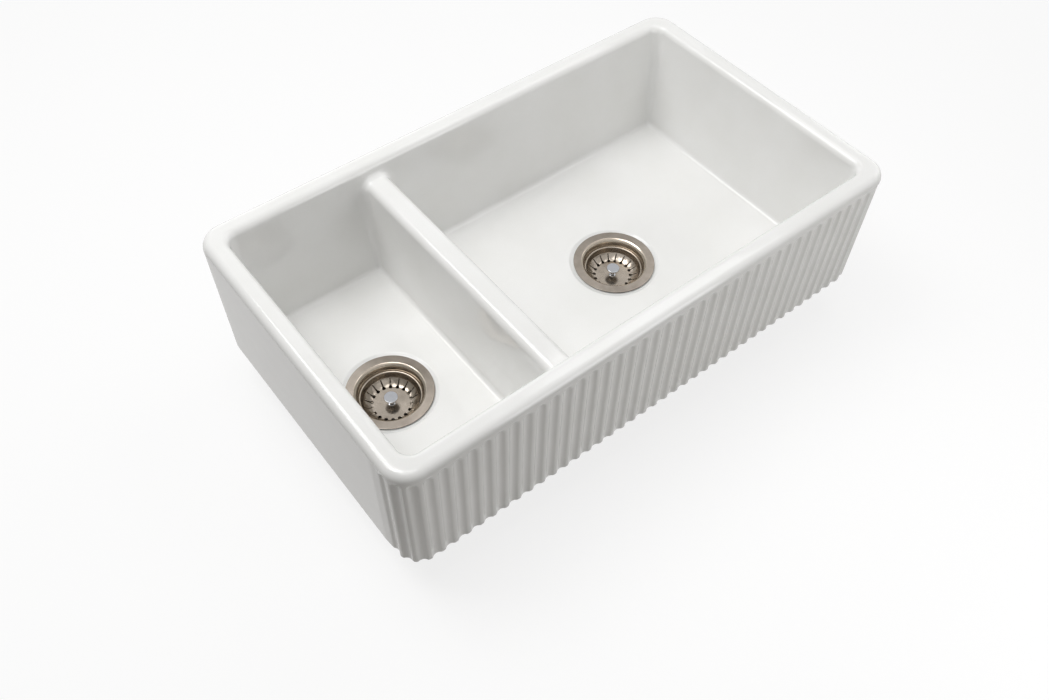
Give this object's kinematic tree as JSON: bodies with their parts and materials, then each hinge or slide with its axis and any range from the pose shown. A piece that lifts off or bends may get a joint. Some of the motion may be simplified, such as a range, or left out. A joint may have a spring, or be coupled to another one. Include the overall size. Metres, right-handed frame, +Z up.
{
  "type": "farmhouse apron front sink",
  "caption": "Fireclay farmhouse sink with a fluted apron front, a small and a large bowl, and lift-out basket strainers with their wastes.",
  "frame": {"origin": "middle of the sink's underside, on the plane that rests on the cabinet", "axes": "+X to the right along the front, +Y to the back, +Z up"},
  "size_m": [0.8, 0.464, 0.2761],
  "materials": {
    "sink_body": "gloss",
    "strainer_cup": "satin",
    "flange_seal": "matt",
    "underside_gasket": "matt",
    "waste_housing": "satin moulded",
    "housing_insert": "machined",
    "clamp_screw": "machined",
    "basket": "polished",
    "basket_stem": "polished",
    "basket_plug": "matt",
    "plug_retainer": "machined",
    "stem_clip": "spring steel"
  },
  "bodies": {
    "sink": {"sink_body": "sink_body", "small_strainer_cup": "strainer_cup", "small_flange_seal": "flange_seal", "small_underside_gasket": "underside_gasket", "small_waste_housing": "waste_housing", "small_housing_insert": "housing_insert", "small_clamp_screw": "clamp_screw", "large_strainer_cup": "strainer_cup", "large_flange_seal": "flange_seal", "large_underside_gasket": "underside_gasket", "large_waste_housing": "waste_housing", "large_housing_insert": "housing_insert", "large_clamp_screw": "clamp_screw"},
    "small_bowl_basket": {"small_basket": "basket", "small_basket_stem": "basket_stem", "small_basket_plug": "basket_plug", "small_plug_retainer": "plug_retainer", "small_stem_clip": "stem_clip"},
    "large_bowl_basket": {"large_basket": "basket", "large_basket_stem": "basket_stem", "large_basket_plug": "basket_plug", "large_plug_retainer": "plug_retainer", "large_stem_clip": "stem_clip"}
  },
  "joints": [
    {"name": "small_basket_lift", "type": "slide", "parent": "sink", "child": "small_bowl_basket", "axis": [0, 0, 1], "range_m": [0, 0.24]},
    {"name": "large_basket_lift", "type": "slide", "parent": "sink", "child": "large_bowl_basket", "axis": [0, 0, 1], "range_m": [0, 0.24]}
  ]
}
